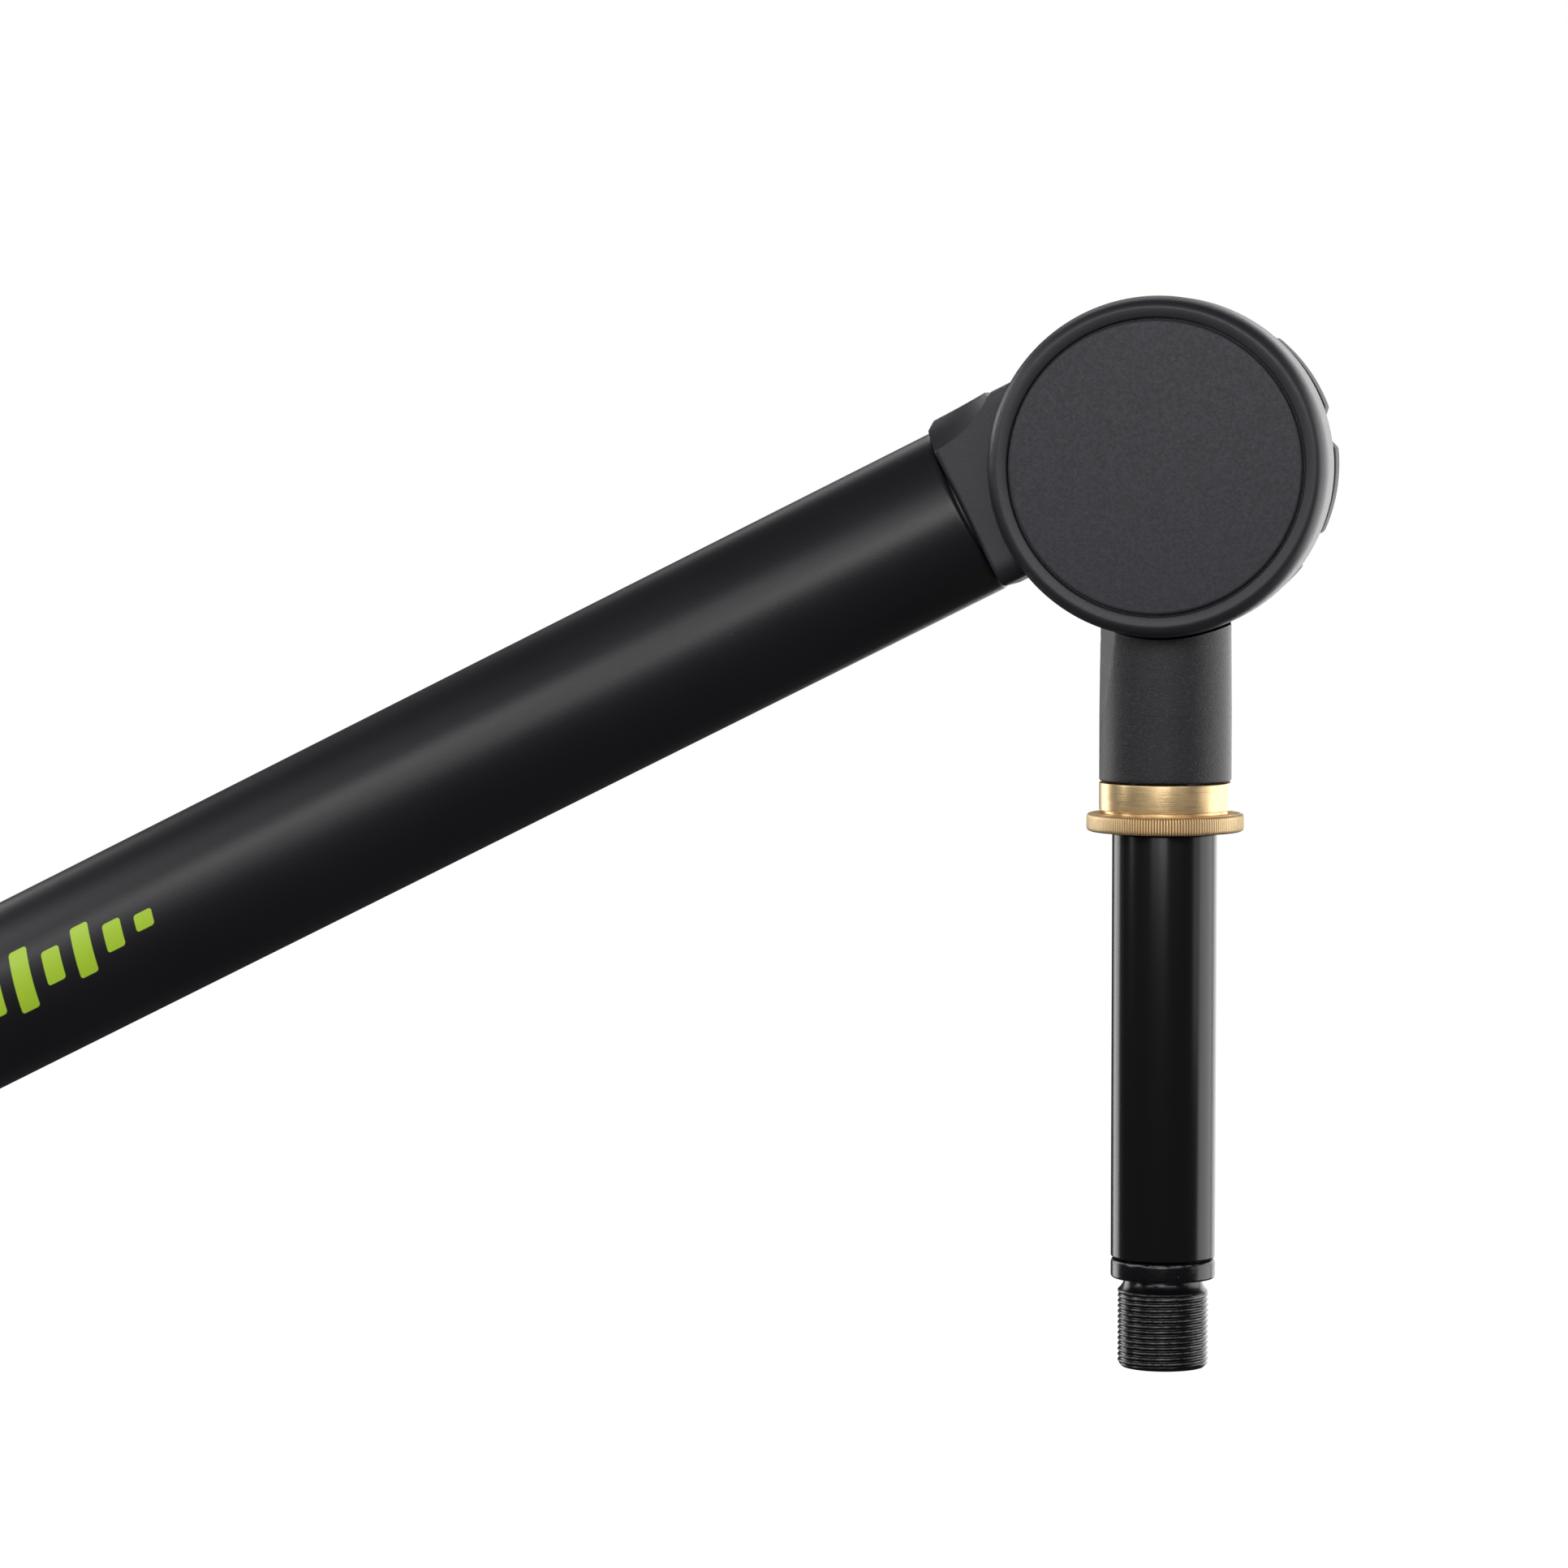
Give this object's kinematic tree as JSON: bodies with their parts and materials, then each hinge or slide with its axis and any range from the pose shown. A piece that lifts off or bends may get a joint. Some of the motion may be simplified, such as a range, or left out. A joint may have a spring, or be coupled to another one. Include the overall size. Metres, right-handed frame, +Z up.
{
  "type": "desk-clamped microphone boom arm",
  "caption": "Sprung two-section boom arm with disc hinges and tension knobs, a desk clamp with a swivel socket, and a hanging stem that ends in a microphone thread.",
  "frame": {"origin": "underside of the clamp's upper pad, where it rests on the desk, on the swivel axis", "axes": "+Z up along the swivel axis; the arm lies in the XZ plane and reaches towards +X; the hinge plates face -Y"},
  "size_m": [0.4608, 0.072, 0.8929],
  "materials": {
    "anodised": "satin black anodised",
    "satin_black": "moulded, satin",
    "grained_black": "fine grain, matte",
    "cast_black": "coarse powder coat",
    "gloss_black": "gloss",
    "brass": "turned and knurled",
    "steel": "zinc plated",
    "rubber": "matte",
    "nylon": "matte"
  },
  "bodies": {
    "clamp": {"clamp_frame": "cast_black", "clamp_top_pad": "rubber", "swivel_socket": "cast_black", "socket_bush": "nylon", "socket_screw_1": "steel", "socket_screw_2": "steel"},
    "swivel_lock": {"lock_screw": "steel", "lock_knob": "satin_black"},
    "clamp_foot": {"clamp_foot": "steel", "clamp_foot_pad": "rubber"},
    "clamp_screw": {"clamp_screw": "steel"},
    "clamp_bar": {"clamp_bar": "steel"},
    "base": {"base_knuckle": "cast_black"},
    "lower_arm": {"shoulder_drum": "satin_black", "shoulder_hood": "satin_black", "shoulder_plate": "grained_black", "shoulder_bolt": "steel", "shoulder_washer_front": "nylon", "shoulder_washer_back": "nylon", "lower_tube": "anodised", "lower_tube_screw_1": "steel", "lower_tube_screw_2": "steel", "elbow_tongue": "satin_black", "elbow_tongue_hood": "satin_black"},
    "shoulder_knob": {"shoulder_knob": "satin_black", "shoulder_nut": "steel"},
    "lower_pull_rod": {"lower_pull_rod": "steel", "lower_spring": "steel"},
    "upper_arm": {"elbow_drum": "satin_black", "elbow_hood": "satin_black", "elbow_plate": "grained_black", "elbow_bolt": "steel", "elbow_washer_front": "nylon", "elbow_washer_back": "nylon", "upper_tube": "anodised", "upper_tube_screw_1": "steel", "upper_tube_screw_2": "steel", "head_drum": "satin_black", "head_hood": "satin_black", "head_plate": "grained_black", "head_bolt": "steel", "head_washer_front": "nylon", "head_washer_back": "nylon"},
    "elbow_knob": {"elbow_knob": "satin_black", "elbow_nut": "steel"},
    "head_knob": {"head_knob": "satin_black", "head_nut": "steel"},
    "upper_pull_rod": {"upper_pull_rod": "steel", "upper_spring": "steel"},
    "head": {"head_knuckle": "cast_black", "head_stud": "steel"},
    "lock_ring": {"lock_ring": "brass"},
    "stem": {"stem_tube": "gloss_black", "stem_adaptor": "gloss_black"}
  },
  "joints": [
    {"name": "clamp_feed", "type": "slide", "parent": "clamp", "child": "clamp_foot", "axis": [0, 0, 1], "range_m": [-0.026, 0.022]},
    {"name": "clamp_screw_turn", "type": "hinge", "parent": "clamp_foot", "child": "clamp_screw", "pos_m": [0, 0, -0.08], "axis": [0, 0, 1], "range_deg": [-3130, 2650]},
    {"name": "clamp_bar_slide", "type": "slide", "parent": "clamp_screw", "child": "clamp_bar", "axis": [0, 1, 0], "range_m": [-0.016, 0.016]},
    {"name": "swivel_lock_turn", "type": "hinge", "parent": "clamp", "child": "swivel_lock", "pos_m": [-0.025, 0, 0.0303], "axis": [1, 0, 0], "range_deg": [-180, 180]},
    {"name": "base_swivel", "type": "hinge", "parent": "clamp", "child": "base", "pos_m": [0, 0, 0.0303], "axis": [0, 0, 1], "continuous": true},
    {"name": "shoulder", "type": "hinge", "parent": "base", "child": "lower_arm", "pos_m": [0, 0, 0.1015], "axis": [0, -1, 0], "range_deg": [-45, 45]},
    {"name": "shoulder_knob_turn", "type": "hinge", "parent": "lower_arm", "child": "shoulder_knob", "pos_m": [0, 0, 0.1015], "axis": [0, 1, 0], "range_deg": [-180, 180]},
    {"name": "lower_rod_slide", "type": "slide", "parent": "lower_arm", "child": "lower_pull_rod", "axis": [-0.2588, 0, 0.9659], "range_m": [-0.0075, 0.0075], "deforming": ["lower_spring"]},
    {"name": "elbow", "type": "hinge", "parent": "lower_arm", "child": "upper_arm", "pos_m": [-0.11647, 0, 0.53617], "axis": [0, -1, 0], "range_deg": [-70, 65]},
    {"name": "elbow_knob_turn", "type": "hinge", "parent": "upper_arm", "child": "elbow_knob", "pos_m": [-0.11647, 0, 0.53617], "axis": [0, 1, 0], "range_deg": [-180, 180]},
    {"name": "upper_rod_slide", "type": "slide", "parent": "upper_arm", "child": "upper_pull_rod", "axis": [0.8942, 0, 0.4478], "range_m": [-0.011, 0.0105], "deforming": ["upper_spring"]},
    {"name": "head_tilt", "type": "hinge", "parent": "upper_arm", "child": "head", "pos_m": [0.2859, 0, 0.73766], "axis": [0, -1, 0], "range_deg": [-24, 115]},
    {"name": "head_knob_turn", "type": "hinge", "parent": "upper_arm", "child": "head_knob", "pos_m": [0.2859, 0, 0.73766], "axis": [0, 1, 0], "range_deg": [-180, 180]},
    {"name": "lock_ring_turn", "type": "hinge", "parent": "head", "child": "lock_ring", "pos_m": [0.2859, 0, 0.67766], "axis": [0, 0, 1], "continuous": true},
    {"name": "stem_turn", "type": "hinge", "parent": "head", "child": "stem", "pos_m": [0.2859, 0, 0.63766], "axis": [0, 0, 1], "continuous": true}
  ],
  "couplings": [
    {"joint": "clamp_screw_turn", "follows": "clamp_feed", "rad_per_m": 2094.4},
    {"joint": "lower_rod_slide", "follows": "shoulder", "m_per_rad": 0.0085},
    {"joint": "upper_rod_slide", "follows": "elbow", "m_per_rad": 0.0085}
  ]
}
